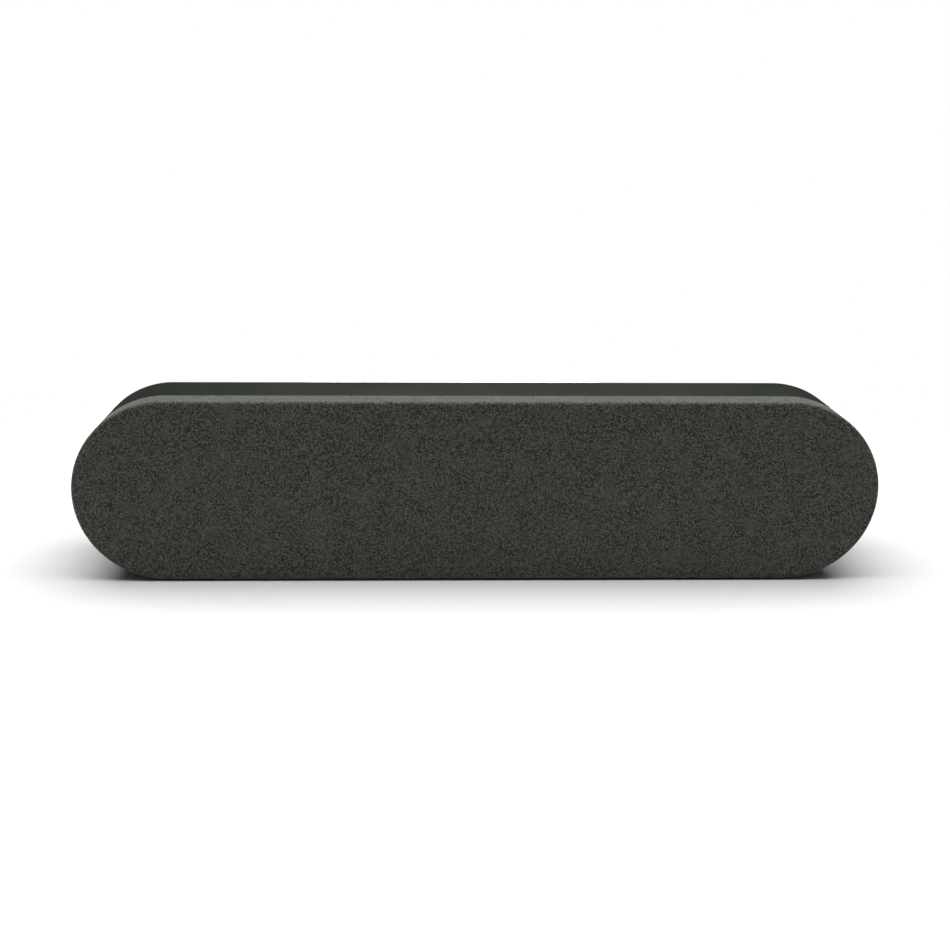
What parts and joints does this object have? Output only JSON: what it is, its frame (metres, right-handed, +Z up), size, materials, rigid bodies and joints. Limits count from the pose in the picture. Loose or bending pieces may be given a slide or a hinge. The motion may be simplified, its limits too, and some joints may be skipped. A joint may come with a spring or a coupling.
{
  "type": "soundbar",
  "caption": "Compact stadium-shaped soundbar: cloth-covered front, tapered plastic housing, full-range drivers either side of a passive radiator.",
  "frame": {"origin": "centre of the box that holds the part, on the surface that its feet stand on", "axes": "+X along the bar to the right as seen from the front, +Y from the cloth front to the back, +Z up"},
  "size_m": [0.449, 0.08, 0.1042],
  "materials": {
    "front_cloth": "fine heathered charcoal speaker cloth, matt",
    "housing": "moulded plastic with a very fine even texture, satin-matt dark grey",
    "inner_plastic": "black moulded plastic",
    "rubber": "soft black rubber",
    "foam": "closed-cell foam strip, dark grey",
    "cone_paper": "pressed black cone, faint concentric ribs",
    "spider_cloth": "resin-treated woven cloth, amber",
    "coil": "enamelled copper winding on an aluminium former",
    "steel": "bright zinc-plated steel",
    "black_steel": "black painted pressed steel",
    "ferrite": "sintered ferrite, dark grey",
    "aluminium": "satin aluminium",
    "brass": "turned brass",
    "board": "green solder-masked laminate",
    "lens": "clear moulded light guide",
    "lead": "red sleeved wire pair"
  },
  "bodies": {
    "cabinet": {"housing": "housing", "baffle": "inner_plastic", "baffle_gasket": "foam", "baffle_screw_1": "steel", "baffle_screw_2": "steel", "baffle_screw_3": "steel", "baffle_screw_4": "steel", "baffle_screw_5": "steel", "baffle_screw_6": "steel", "driver_screw_left_1": "steel", "driver_screw_left_2": "steel", "driver_screw_left_3": "steel", "driver_screw_left_4": "steel", "driver_screw_right_1": "steel", "driver_screw_right_2": "steel", "driver_screw_right_3": "steel", "driver_screw_right_4": "steel", "basket_left": "black_steel", "surround_left": "rubber", "spider_left": "spider_cloth", "front_plate_left": "steel", "magnet_left": "ferrite", "yoke_left": "steel", "lead_left": "lead", "foot_left": "rubber", "wall_insert_left": "brass", "plate_screw_left": "steel", "basket_right": "black_steel", "surround_right": "rubber", "spider_right": "spider_cloth", "front_plate_right": "steel", "magnet_right": "ferrite", "yoke_right": "steel", "lead_right": "lead", "foot_right": "rubber", "wall_insert_right": "brass", "plate_screw_right": "steel", "radiator_frame": "inner_plastic", "radiator_surround": "rubber", "main_board": "board", "heat_sink": "aluminium", "capacitor": "inner_plastic", "connector_plate": "inner_plastic", "power_jack": "inner_plastic", "usb_port": "steel", "audio_jack": "inner_plastic", "status_lens": "lens", "button_switch": "inner_plastic"},
    "front_cover": {"grille_frame": "inner_plastic", "front_cloth": "front_cloth"},
    "left_cone": {"cone_left": "cone_paper", "dust_cap_left": "cone_paper", "voice_coil_left": "coil"},
    "right_cone": {"cone_right": "cone_paper", "dust_cap_right": "cone_paper", "voice_coil_right": "coil"},
    "radiator": {"radiator_plate": "aluminium", "radiator_weight": "steel"},
    "power_button": {"power_button": "housing"}
  },
  "joints": [
    {"name": "front_cover_pull", "type": "slide", "parent": "cabinet", "child": "front_cover", "axis": [0, -1, 0], "range_m": [0, 0.12]},
    {"name": "left_cone_stroke", "type": "slide", "parent": "cabinet", "child": "left_cone", "axis": [0, -1, 0], "range_m": [-0.003, 0.003], "stiffness_N_per_m": 900, "deforming": ["surround_left", "spider_left"]},
    {"name": "right_cone_stroke", "type": "slide", "parent": "cabinet", "child": "right_cone", "axis": [0, -1, 0], "range_m": [-0.003, 0.003], "stiffness_N_per_m": 900, "deforming": ["surround_right", "spider_right"]},
    {"name": "radiator_stroke", "type": "slide", "parent": "cabinet", "child": "radiator", "axis": [0, -1, 0], "range_m": [-0.003, 0.003], "stiffness_N_per_m": 700, "deforming": ["radiator_surround"]},
    {"name": "power_button_press", "type": "slide", "parent": "cabinet", "child": "power_button", "axis": [0, -1, 0], "range_m": [0, 0.0008], "stiffness_N_per_m": 1500}
  ]
}
